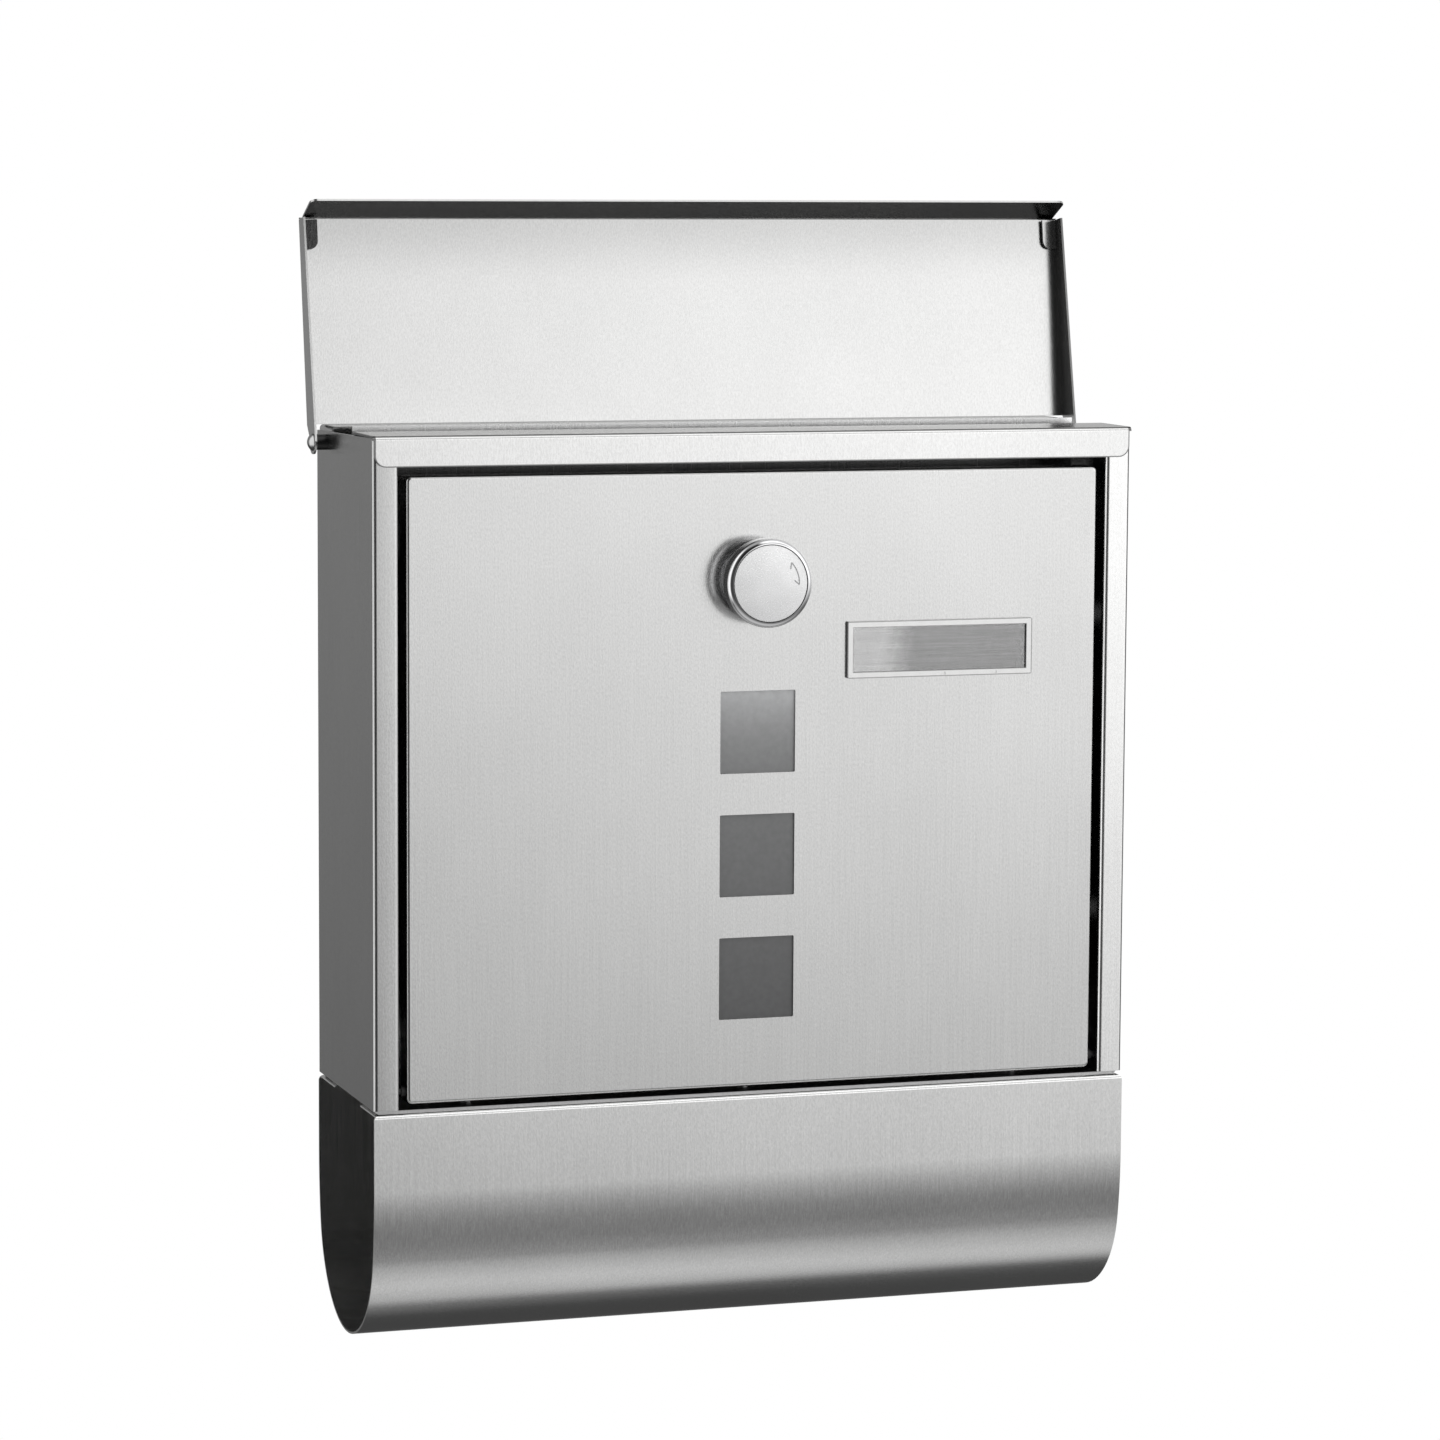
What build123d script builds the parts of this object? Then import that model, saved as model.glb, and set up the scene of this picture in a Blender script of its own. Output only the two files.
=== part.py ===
from build123d import *
from math import cos, radians, sin
import os

# Wall mailbox of folded stainless sheet: a letter box with a lid on two rivets, a door that tilts
# down on two pins behind a quarter-turn knob, and an open newspaper roll underneath.
# Frame: +Z up, the front faces -Y, the wall plane is Y = 0, and the origin is the centre of the
# four wall holes. Lengths are in millimetres. The lid is modelled open, resting on its stop, and
# the door closed with its latch released.

# Driving dimensions
WIDTH = 300.0
DEPTH = 88.0
HEIGHT = 251.0
TOP = 140.0
SHEET = 0.8
BEND = 1.6

# Wall holes
HOLE_SPACING_X = 220.0
HOLE_SPACING_Z = 120.0
HOLE_R = 3.0

# Front frame
FLANGE = 10.0
RETURN = 13.0
LIP_HEIGHT = 11.5
LIP_CORNER = 4.3
LIP_INSET = 0.8
RAIL_DEPTH = 32.0
RAIL_DOWNTURN = 9.0
WALL_TOP_FALL = 1.5

# Rear top plate and letter guide
REAR_PLATE_DEPTH = 20.7
REAR_PLATE_SKIRT = 12.5
GUIDE_Y = -37.8
GUIDE_HALF_WIDTH = 145.4
GUIDE_RISE = 1.1

# Newspaper roll
ROLL_TOP = 252.4
ROLL_HEIGHT = 91.6
ROLL_SHOULDER_R = 160.0
ROLL_SHOULDER_TURN = 9.5
ROLL_FLANGE = 24.0
ROLL_CORNER = 2.2
FLOOR_SKIRT = 12.0
FLOOR_FRONT = 84.0

# Lid
LID_OPEN = 99.0
LID_PIVOT_Y = -15.2
LID_PIVOT_DROP = 6.1
LID_WIDTH = 310.4
LID_RISE = 8.2
LID_REAR_EDGE = 7.6
LID_LENGTH = 87.1
LID_LIP = 15.8
LID_LIP_ANGLE = 73.0
LID_LIP_INSET = 1.5
LID_LIP_CORNER = 2.6
LID_FLANGE_FRONT = 8.0
LID_EAR_R = 4.6
LID_TAB = (6.4, 11.4)
LID_TAB_CORNER = 3.2
LID_TAB_GAP = 0.3
LID_TAB_TILT = 9.0
RIVET_R = 2.0
RIVET_HEAD_R = 3.4
RIVET_DOME = 1.9
RIVET_FOOT = 1.2
RIVET_PLAY = 0.15
SPACER_R = 3.0
RUNNING = 0.05

# Door
DOOR_RECESS = 2.1
DOOR_GAP = 3.1
DOOR_TOP = 15.0
DOOR_BOTTOM = 249.3
DOOR_PAN = 10.0
DOOR_CORNER = 2.0
DOOR_RIM = 1.2
PIN_R = 1.5
PIN_BEHIND_FACE = 3.8
PIN_ABOVE_EDGE = 4.6
BUSH_R = 2.2

# Windows
WINDOW = (29.8, 31.3)
WINDOW_FIRST = 113.6
WINDOW_PITCH = 47.0
WINDOW_COUNT = 3
PANE_MARGIN = 5.0
PANE_THICKNESS = 2.0
STUD_R = 1.5
STUD_X = 13.0
STUD_TAB = 4.5

# Name plate
PLATE = (75.0, 21.7)
PLATE_CENTRE = (72.7, 83.4)
PLATE_RIM = 2.4
PLATE_THICKNESS = 1.6
THUMB_NOTCH = (3.8, 1.2, 0.3)
THUMB_NOTCH_X = (0.2, 21.1)
PEG_R = 1.4
PEG_SPACING = 58.0

# Lock
KNOB_DROP = 56.2
KNOB_R = 16.8
KNOB_PROUD = 14.5
KNOB_THICKNESS = 8.4
KNOB_FRONT_ROUND = 2.3
KNOB_BACK_ROUND = 2.5
CAP_R = 14.4
COLLAR_R = 12.6
BARREL_R = 9.0
SPINDLE_R = 5.0
SQUARE = 7.0
TONGUE_LENGTH = 48.0
TONGUE_WIDTH = 14.0
TONGUE_FRONT = 13.4
TONGUE_THICKNESS = 2.0

HALF = WIDTH / 2
INNER = HALF - SHEET
BOTTOM = TOP - HEIGHT
FRAME_Y = SHEET - DEPTH
DOOR_Y = DOOR_RECESS - DEPTH
DOOR_BACK_Y = DOOR_Y + SHEET
DOOR_HALF = HALF - FLANGE - DOOR_GAP
FLOOR_Z = TOP - ROLL_TOP
PIVOT = (LID_PIVOT_Y, TOP - LID_PIVOT_DROP)
PIN = (DOOR_Y + PIN_BEHIND_FACE, TOP - DOOR_BOTTOM + PIN_ABOVE_EDGE)
KNOB_Z = TOP - KNOB_DROP
TONGUE_Y = DOOR_Y + TONGUE_FRONT - TONGUE_THICKNESS
WINDOW_Z = [TOP - WINDOW_FIRST - WINDOW_PITCH * i for i in range(WINDOW_COUNT)]


def sheet_face(line, side=Side.RIGHT):
    """Section of a folded sheet: its outer line, thickened to one side."""
    return make_face(offset(line, amount=SHEET, side=side, closed=True).edges())


def across(section, half_width):
    """A Y-Z section run across the box, the same distance each side of its middle."""
    return extrude(Plane.YZ * section, amount=half_width, both=True)


def block(x, y, z):
    """A box from its lowest and highest X, Y and Z."""
    return Pos(x[0], y[0], z[0]) * Box(
        x[1] - x[0], y[1] - y[0], z[1] - z[0], align=(Align.MIN, Align.MIN, Align.MIN)
    )


def rod_x(radius, x, centre):
    """A cylinder along X between two X values, centred on a Y-Z point."""
    return Pos(x[0], *centre) * Rot(0, 90, 0) * Cylinder(
        radius, x[1] - x[0], align=(Align.CENTER, Align.CENTER, Align.MIN)
    )


def rod_y(radius, y, x, z):
    """A cylinder along Y between two Y values."""
    return Pos(x, y[1], z) * Rot(90, 0, 0) * Cylinder(
        radius, y[1] - y[0], align=(Align.CENTER, Align.CENTER, Align.MIN)
    )


def rod_z(radius, z, x, y):
    """A cylinder along Z between two Z values."""
    return Pos(x, y, z[0]) * Cylinder(
        radius, z[1] - z[0], align=(Align.CENTER, Align.CENTER, Align.MIN)
    )


def both_sides(shape):
    """The shape and its mirror image across the middle of the box."""
    return shape + mirror(shape, about=Plane.YZ)


def body_shell():
    """Back, sides, front flanges and their returns, folded from one sheet."""
    left = [
        (FLANGE - HALF, FRAME_Y + RETURN),
        (FLANGE - HALF, FRAME_Y),
        (-HALF, FRAME_Y),
        (-HALF, 0),
    ]
    right = [(-x, y) for x, y in reversed(left)]
    outline = sheet_face(FilletPolyline(*left, *right, radius=BEND))
    shell = Pos(0, 0, BOTTOM) * extrude(outline, amount=HEIGHT - SHEET)
    wall_top = TOP - SHEET
    wedge = make_face(
        Polyline((-DEPTH, TOP), (-DEPTH, wall_top), (1, wall_top - WALL_TOP_FALL), (1, TOP), close=True)
    )
    shell -= across(wedge, HALF + 1)
    shell -= block((-HALF, HALF), (-DEPTH, FRAME_Y + SHEET), (TOP - 2 * SHEET - 0.2, TOP))
    for x in (-HOLE_SPACING_X / 2, HOLE_SPACING_X / 2):
        for z in (-HOLE_SPACING_Z / 2, HOLE_SPACING_Z / 2):
            shell -= rod_y(HOLE_R, (-2, 1), x, z)
    shell -= both_sides(rod_x(RIVET_R, (INNER - 1, HALF + 1), PIVOT))
    return shell - both_sides(rod_x(PIN_R, (HALF - FLANGE - 1, HALF - FLANGE + 2), PIN))


def top_rail():
    """Front lip, top face and the downturned edge of the letter slot."""
    back = RAIL_DEPTH - DEPTH
    line = FilletPolyline(
        (-DEPTH, TOP - LIP_HEIGHT), (-DEPTH, TOP), (back, TOP), (back, TOP - RAIL_DOWNTURN), radius=BEND
    )
    rail = across(sheet_face(line), HALF)
    lip_end = block((HALF - LIP_INSET, HALF + 1), (-DEPTH - 1, FRAME_Y), (TOP - LIP_HEIGHT - 1, TOP - BEND))
    rail -= both_sides(lip_end)
    lip_corners = rail.edges().filter_by(Axis.Y).group_by(Axis.Z)[0]
    rail = fillet(lip_corners.filter_by(lambda e: e.center().Y < FRAME_Y), LIP_CORNER)
    ends = block((INNER - 0.2, HALF + 1), (back - 2, back + 1), (TOP - RAIL_DOWNTURN - 1, TOP - SHEET))
    return rail - both_sides(ends)


def rear_top_plate():
    """Plate over the back edge, with a skirt that the lid's rivets go through."""
    skirt = block((-INNER, INNER), (-SHEET - REAR_PLATE_DEPTH, -SHEET), (TOP - REAR_PLATE_SKIRT, TOP))
    skirt = fillet(skirt.edges().filter_by(Axis.Y).group_by(Axis.Z)[-1], BEND)
    skirt = fillet(skirt.edges().filter_by(Axis.Z).group_by(Axis.Y)[-1], BEND)
    openings = [skirt.faces().sort_by(Axis.Z)[0], skirt.faces().sort_by(Axis.Y)[0]]
    plate = offset(skirt, amount=-SHEET, openings=openings)
    return plate - both_sides(rod_x(RIVET_R, (INNER - 2, HALF), PIVOT))


def letter_guide():
    """Guide behind the slot, that leads a letter forward and keeps it off the back."""
    line = FilletPolyline(
        (GUIDE_Y, TOP + GUIDE_RISE), (GUIDE_Y, TOP - 20), (-SHEET, TOP - 52), (-SHEET, TOP - 64), radius=BEND
    )
    return across(sheet_face(line), GUIDE_HALF_WIDTH)


def floor_plate():
    """Floor of the letter box, with a skirt inside the back and sides."""
    tray = block((-INNER, INNER), (-FLOOR_FRONT, -SHEET), (FLOOR_Z, FLOOR_Z + FLOOR_SKIRT))
    tray = fillet(tray.edges().filter_by(Axis.Y).group_by(Axis.Z)[0], BEND)
    tray = fillet(tray.edges().filter_by(Axis.Z).group_by(Axis.Y)[-1], BEND)
    openings = [tray.faces().sort_by(Axis.Z)[-1], tray.faces().sort_by(Axis.Y)[0]]
    plate = offset(tray, amount=-SHEET, openings=openings)
    for x, y in roll_rivet_places():
        plate -= rod_z(PIN_R, (FLOOR_Z - 1, FLOOR_Z + 2), x, y)
    return plate


def roll_rivet_places():
    """Where the roll's two flanges are riveted to the floor."""
    return [(x, y) for x in (-110, 0, 110) for y in (-69.0, -12.0)]


def newspaper_roll():
    """One sheet that hangs from the floor as an open-ended tube: flat, gently curved, then round."""
    turn = radians(ROLL_SHOULDER_TURN)
    radius = (DEPTH / 2 - ROLL_SHOULDER_R * (1 - cos(turn))) / cos(turn)
    flat = ROLL_HEIGHT - ROLL_SHOULDER_R * sin(turn) - radius * (1 - sin(turn))
    front = FilletPolyline(
        (ROLL_FLANGE - DEPTH, FLOOR_Z), (-DEPTH, FLOOR_Z), (-DEPTH, FLOOR_Z - flat), radius=BEND
    )
    shoulder = JernArc((-DEPTH, FLOOR_Z - flat), (0, -1), ROLL_SHOULDER_R, ROLL_SHOULDER_TURN)
    round_part = JernArc(shoulder @ 1, shoulder % 1, radius, 180 - 2 * ROLL_SHOULDER_TURN)
    belly = shoulder.edges() + round_part.edges()
    belly += JernArc(round_part @ 1, round_part % 1, ROLL_SHOULDER_R, ROLL_SHOULDER_TURN).edges()
    back = FilletPolyline((0, FLOOR_Z - flat), (0, FLOOR_Z), (-ROLL_FLANGE, FLOOR_Z), radius=BEND)
    line = Wire(front.edges() + belly + back.edges())
    inner = line.offset_2d(SHEET, side=Side.LEFT, closed=True)
    roll = across(make_face(inner.edges()), HALF)
    outline = Pos(0, FLOOR_Z - ROLL_HEIGHT / 2) * Rectangle(WIDTH, ROLL_HEIGHT)
    outline = fillet(outline.vertices().group_by(Axis.Y)[-1], ROLL_CORNER)
    roll &= extrude(Plane.XZ * outline, amount=DEPTH + 1, both=True)
    for x, y in roll_rivet_places():
        roll -= rod_z(PIN_R, (FLOOR_Z - 2, FLOOR_Z + 1), x, y)
    return roll


def roll_rivets():
    """Flat rivets between the roll's flanges and the floor."""
    head, thickness = 3.2, 0.7
    low, high = FLOOR_Z - SHEET, FLOOR_Z + SHEET
    rivets = []
    for x, y in roll_rivet_places():
        shank = rod_z(PIN_R, (low - thickness, high + thickness), x, y)
        rivets.append(
            shank + rod_z(head, (low - thickness, low), x, y) + rod_z(head, (high, high + thickness), x, y)
        )
    return Compound(rivets)


def lid_closed():
    """The lid as it lies when shut: panel, drip lip, side flanges with ears, and corner tabs."""
    y0, z0 = PIVOT
    high, fold = z0 + LID_RISE, y0 - LID_LENGTH
    half = LID_WIDTH / 2
    drop = Vector(0, -LID_LIP, 0).rotate(Axis.X, LID_LIP_ANGLE)
    line = FilletPolyline(
        (y0 - LID_REAR_EDGE, high), (fold, high), (fold + drop.Y, high + drop.Z), radius=BEND
    )
    panel = across(sheet_face(line, Side.LEFT), half)
    lip_end = block((half - LID_LIP_INSET, half + 1), (fold - 20, fold + 0.5), (z0 - 20, high + 1))
    panel -= both_sides(lip_end)
    tip = panel.edges().filter_by(lambda e: e.length < SHEET + 0.01 and e.center().Z < high - 8)
    panel = fillet(tip, LID_LIP_CORNER)
    skirt = make_face(
        Polyline(
            (y0 - LID_REAR_EDGE, high - SHEET / 2),
            (fold + 3.0, high - SHEET / 2),
            (fold + 1.2, high - 2.4),
            (fold + 1.2, high - LID_FLANGE_FRONT),
            (y0, z0 - LID_EAR_R),
            (y0 + LID_EAR_R, z0),
            close=True,
        )
    )
    skirt += Pos(y0, z0) * Circle(LID_EAR_R)
    flange = Pos(half - SHEET, 0, 0) * extrude(Plane.YZ * skirt, amount=SHEET)
    tab_width, tab_length = LID_TAB
    tab = Pos(-tab_width / 2, fold + 1.4 + tab_length / 2) * Rectangle(tab_width, tab_length)
    tab = fillet(tab.vertices().group_by(Axis.X)[0].sort_by(Axis.Y)[-1], LID_TAB_CORNER)
    tab = Rot(0, -LID_TAB_TILT, 0) * extrude(tab, amount=-SHEET)
    tab = Pos(half - SHEET / 2, 0, high - SHEET - LID_TAB_GAP) * tab
    flange += tab & block((0, half), (fold, y0), (z0, high - SHEET))
    lid = panel + both_sides(flange)
    corners = lid.edges().filter_by(Axis.Y).filter_by(lambda e: e.center().Z > high - 0.01 and e.length > 50)
    lid = fillet(corners, SHEET * 0.9)
    return lid - both_sides(rod_x(RIVET_R + RUNNING, (HALF, half + 1), PIVOT))


def lid():
    """The lid, opened about its rivets until it rests on the rear top plate."""
    return lid_closed().rotate(Axis((0, *PIVOT), (1, 0, 0)), -LID_OPEN)


def lid_rivets():
    """Domed rivets through the skirt and wall, whose outer ends carry the lid's ears."""
    head_base = LID_WIDTH / 2 + RIVET_PLAY
    flat = INNER - SHEET - RIVET_FOOT
    profile = Polyline(
        (head_base, RIVET_HEAD_R),
        (head_base, RIVET_R),
        (INNER - SHEET, RIVET_R),
        (INNER - SHEET, RIVET_HEAD_R + 0.6),
        (flat, RIVET_HEAD_R + 0.6),
        (flat, 0),
        (head_base + RIVET_DOME, 0),
    )
    dome = ThreePointArc(
        (head_base + RIVET_DOME, 0),
        (head_base + 0.72 * RIVET_DOME, 0.55 * RIVET_HEAD_R),
        (head_base, RIVET_HEAD_R),
    )
    rivet = revolve(make_face(profile.edges() + dome.edges()), Axis.X)
    rivet = Pos(0, *PIVOT) * rivet
    return Compound([rivet, rivet.rotate(Axis.Z, 180).moved(Location((0, 2 * PIVOT[0], 0)))])


def lid_spacers():
    """Tubes on the rivets that hold the lid's ears off the walls."""
    tube = rod_x(SPACER_R, (HALF, LID_WIDTH / 2 - SHEET - RIVET_PLAY), PIVOT)
    tube -= rod_x(RIVET_R, (HALF - 1, LID_WIDTH / 2), PIVOT)
    return Compound([tube, mirror(tube, about=Plane.YZ)])


def lock_strike():
    """Angle bracket under the rail that the latch tongue turns up behind."""
    line = FilletPolyline(
        (FRAME_Y + 1, TOP - SHEET),
        (TONGUE_Y - 0.5, TOP - SHEET),
        (TONGUE_Y - 0.5, TOP - LIP_HEIGHT - 0.5),
        radius=BEND,
    )
    return across(sheet_face(line), 20)


def door_pan():
    """Door panel with its edges folded back, three windows and the holes for its fittings."""
    pan = block(
        (-DOOR_HALF, DOOR_HALF), (DOOR_Y, DOOR_Y + DOOR_PAN), (TOP - DOOR_BOTTOM, TOP - DOOR_TOP)
    )
    pan = fillet(pan.edges().filter_by(Axis.Y), DOOR_CORNER)
    pan = fillet(pan.faces().sort_by(Axis.Y)[0].edges(), DOOR_RIM)
    pan = offset(pan, amount=-SHEET, openings=[pan.faces().sort_by(Axis.Y)[-1]])
    window = fillet(Rectangle(*WINDOW).vertices(), 0.5)
    for z in WINDOW_Z:
        pan -= extrude(Plane.XZ * (Pos(0, z) * window), amount=DEPTH + 1)
    pan -= rod_y(BARREL_R, (DOOR_Y - 1, DOOR_Y + 2), 0, KNOB_Z)
    for x, z in peg_places():
        pan -= rod_y(PEG_R, (DOOR_Y - 1, DOOR_Y + 2), x, z)
    return pan - both_sides(rod_x(BUSH_R, (DOOR_HALF - 2, DOOR_HALF + 1), PIN))


def peg_places():
    """Where the name plate's two pegs go through the door."""
    x, drop = PLATE_CENTRE
    return [(x - PEG_SPACING / 2, TOP - drop), (x + PEG_SPACING / 2, TOP - drop)]


def door_hinge_pins():
    """Headed pins fixed in the frame's returns."""
    edge = HALF - FLANGE
    pin = rod_x(PIN_R, (DOOR_HALF - 3, edge + SHEET + 1), PIN)
    pin += rod_x(PIN_R + 1.2, (edge + SHEET, edge + SHEET + 1.2), PIN)
    return Compound([pin, mirror(pin, about=Plane.YZ)])


def door_hinge_bushes():
    """Plastic bushes pressed in the door's side folds, that run on the pins."""
    bush = rod_x(BUSH_R, (DOOR_HALF - SHEET, DOOR_HALF + 1.6), PIN)
    bush += rod_x(BUSH_R + 0.4, (DOOR_HALF - SHEET - 1.4, DOOR_HALF - SHEET), PIN)
    bush -= rod_x(PIN_R + RUNNING, (DOOR_HALF - 5, DOOR_HALF + 5), PIN)
    return Compound([bush, mirror(bush, about=Plane.YZ)])


def window_strip_size(margin):
    """Half width, lowest Z and highest Z of a strip that stands a margin past the windows."""
    half = WINDOW[0] / 2 + margin
    return half, WINDOW_Z[-1] - WINDOW[1] / 2 - margin, WINDOW_Z[0] + WINDOW[1] / 2 + margin


def window_pane():
    """One clear strip behind all three windows."""
    half, low, high = window_strip_size(PANE_MARGIN)
    return block((-half, half), (DOOR_BACK_Y, DOOR_BACK_Y + PANE_THICKNESS), (low, high))


def stud_places():
    """Where the retainer's studs stand on the back of the door."""
    _, low, high = window_strip_size(PANE_MARGIN + SHEET)
    return [(x, z) for x in (-STUD_X, STUD_X) for z in (low - STUD_TAB, high + STUD_TAB)]


def window_retainer():
    """Shallow tray that presses the clear strip to the door, with a tab at each end."""
    half, low, high = window_strip_size(PANE_MARGIN + SHEET)
    back = DOOR_BACK_Y + PANE_THICKNESS + SHEET
    tray = block((-half, half), (DOOR_BACK_Y, back), (low, high))
    tray = offset(tray, amount=-SHEET, openings=[tray.faces().sort_by(Axis.Y)[0]])
    window = Rectangle(WINDOW[0] + 1, WINDOW[1] + 1)
    for z in WINDOW_Z:
        tray -= extrude(Plane.XZ * (Pos(0, z) * window), amount=DEPTH)
    for x, z in stud_places():
        edge, end = (high, z + STUD_TAB) if z > high else (z - STUD_TAB, low)
        tray += block((x - 5, x + 5), (DOOR_BACK_Y, DOOR_BACK_Y + SHEET), (edge, end))
        tray -= rod_y(STUD_R, (DOOR_BACK_Y - 1, DOOR_BACK_Y + 2), x, z)
    return tray


def retainer_studs():
    """Studs welded to the back of the door."""
    return Compound([rod_y(STUD_R, (DOOR_BACK_Y, DOOR_BACK_Y + 6), x, z) for x, z in stud_places()])


def hex_nut(flats, bore, y, x, z):
    """A hexagon nut on an axis along Y."""
    nut = extrude(Plane.XZ * RegularPolygon(flats / 2, 6, major_radius=False), amount=y[0] - y[1])
    return Pos(x, y[0], z) * nut - rod_y(bore, (y[0] - 1, y[1] + 1), x, z)


def retainer_nuts():
    """Nuts on the studs."""
    base = DOOR_BACK_Y + SHEET
    return Compound([hex_nut(5.5, STUD_R, (base, base + 2.4), x, z) for x, z in stud_places()])


def name_plate_frame():
    """Rimmed holder on the door, with two pegs through it and two thumb notches in its lower rim."""
    x, drop = PLATE_CENTRE
    z = TOP - drop
    outer = fillet(Rectangle(*PLATE).vertices(), 0.8)
    inner = Rectangle(PLATE[0] - 2 * PLATE_RIM, PLATE[1] - 2 * PLATE_RIM)
    pocket = Rectangle(PLATE[0] - PLATE_RIM, PLATE[1] - PLATE_RIM)
    front = DOOR_Y - PLATE_THICKNESS
    frame = Pos(0, front, 0) * extrude(Plane.XZ * outer, amount=-PLATE_THICKNESS)
    frame -= Pos(0, front, 0) * extrude(Plane.XZ * inner, amount=-0.5)
    frame -= Pos(0, front + 0.4, 0) * extrude(Plane.XZ * pocket, amount=-0.9)
    frame = Pos(x, 0, z) * frame
    for peg_x, peg_z in peg_places():
        frame += rod_y(PEG_R, (DOOR_Y, DOOR_BACK_Y + 4), peg_x, peg_z)
    notch_width, notch_height, notch_depth = THUMB_NOTCH
    for notch_x in THUMB_NOTCH_X:
        low = z - PLATE[1] / 2 + 0.5
        frame -= block(
            (x + notch_x - notch_width / 2, x + notch_x + notch_width / 2),
            (front - 1, front + notch_depth),
            (low, low + notch_height),
        )
    return frame


def name_plate_cover():
    """Clear cover behind the rim."""
    x, drop = PLATE_CENTRE
    front = DOOR_Y - PLATE_THICKNESS + 0.4
    half_x, half_z = (PLATE[0] - PLATE_RIM) / 2, (PLATE[1] - PLATE_RIM) / 2
    return Pos(x, 0, TOP - drop) * block((-half_x, half_x), (front, front + 0.5), (-half_z, half_z))


def name_plate_card():
    """Blank card under the cover."""
    x, drop = PLATE_CENTRE
    front = DOOR_Y - PLATE_THICKNESS + 0.9
    half_x, half_z = (PLATE[0] - PLATE_RIM) / 2 - 0.2, (PLATE[1] - PLATE_RIM) / 2 - 0.2
    return Pos(x, 0, TOP - drop) * block((-half_x, half_x), (front, front + 0.4), (-half_z, half_z))


def name_plate_clips():
    """Spring washers that grip the pegs behind the door."""
    clips = []
    for x, z in peg_places():
        clip = rod_y(3.6, (DOOR_BACK_Y, DOOR_BACK_Y + 0.6), x, z)
        clips.append(clip - rod_y(PEG_R, (DOOR_BACK_Y - 1, DOOR_BACK_Y + 2), x, z))
    return Compound(clips)


def lock_collar():
    """Round collar between the knob and the door."""
    front = DOOR_Y - KNOB_PROUD + KNOB_THICKNESS + 0.3
    collar = rod_y(COLLAR_R, (front, DOOR_Y), 0, KNOB_Z)
    collar = fillet(collar.edges().filter_by(GeomType.CIRCLE).sort_by(Axis.Y)[0], 0.8)
    return collar - rod_y(BARREL_R, (front - 1, DOOR_Y + 1), 0, KNOB_Z)


def lock_barrel():
    """Threaded sleeve through the door, that carries the spindle."""
    front = DOOR_Y - KNOB_PROUD + KNOB_THICKNESS + 0.3
    back = TONGUE_Y - 0.6
    barrel = rod_y(BARREL_R, (front, back), 0, KNOB_Z)
    return barrel - rod_y(SPINDLE_R + RUNNING, (front - 1, back + 1), 0, KNOB_Z)


def lock_nut():
    """Flat nut that clamps the barrel and collar to the door."""
    return hex_nut(24.0, BARREL_R, (DOOR_BACK_Y + 1.0, DOOR_BACK_Y + 4.5), 0, KNOB_Z)


def lock_washer():
    """Washer under the nut."""
    ring = rod_y(13.0, (DOOR_BACK_Y, DOOR_BACK_Y + 1.0), 0, KNOB_Z)
    return ring - rod_y(BARREL_R, (DOOR_BACK_Y - 1, DOOR_BACK_Y + 2), 0, KNOB_Z)


def knob():
    """Turn knob with a rounded rim and a shallow seat for its cap."""
    front = DOOR_Y - KNOB_PROUD
    body = rod_y(KNOB_R, (front, front + KNOB_THICKNESS), 0, KNOB_Z)
    rings = body.edges().filter_by(GeomType.CIRCLE).sort_by(Axis.Y)
    body = fillet(rings[0], KNOB_FRONT_ROUND)
    back_ring = body.edges().filter_by(GeomType.CIRCLE).sort_by(Axis.Y)[-1]
    body = fillet(back_ring, KNOB_BACK_ROUND)
    return body - rod_y(CAP_R, (front - 1, front + 1.0), 0, KNOB_Z)


def knob_cap():
    """Slightly domed disc on the knob's face."""
    front = DOOR_Y - KNOB_PROUD
    rise, radius = 0.35, CAP_R - 0.05
    ball = (radius**2 + rise**2) / (2 * rise)
    cap = rod_y(radius, (front - 1, front + 1.0), 0, KNOB_Z)
    return cap & (Pos(0, front - rise + 0.2 + ball, KNOB_Z) * Sphere(ball))


def spindle():
    """Shaft from the knob to the latch tongue, square at its end."""
    start = DOOR_Y - KNOB_PROUD + KNOB_THICKNESS
    shaft = rod_y(SPINDLE_R, (start, TONGUE_Y), 0, KNOB_Z)
    shaft += block(
        (-SQUARE / 2, SQUARE / 2),
        (TONGUE_Y, TONGUE_Y + TONGUE_THICKNESS),
        (KNOB_Z - SQUARE / 2, KNOB_Z + SQUARE / 2),
    )
    return shaft - rod_y(2.0, (TONGUE_Y - 6, TONGUE_Y + 5), 0, KNOB_Z)


def latch_tongue():
    """Flat tongue on the spindle's square, pointing right while the latch is released."""
    half = TONGUE_WIDTH / 2
    outline = Circle(half + 1) + Pos(TONGUE_LENGTH / 2, 0) * Rectangle(TONGUE_LENGTH, TONGUE_WIDTH)
    tip = outline.vertices().group_by(Axis.X)[-1]
    outline = fillet(tip, 4) - Rectangle(SQUARE, SQUARE)
    return Pos(0, TONGUE_Y, KNOB_Z) * extrude(Plane.XZ * outline, amount=-TONGUE_THICKNESS)


def latch_screw():
    """Screw and its captive washer at the end of the spindle."""
    face = TONGUE_Y + TONGUE_THICKNESS
    screw = rod_y(6.0, (face, face + 0.8), 0, KNOB_Z) + rod_y(3.8, (face + 0.8, face + 3.2), 0, KNOB_Z)
    screw += rod_y(2.0, (TONGUE_Y - 6, face), 0, KNOB_Z)
    return screw - rod_y(1.4, (face + 1.8, face + 4), 0, KNOB_Z)


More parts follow.
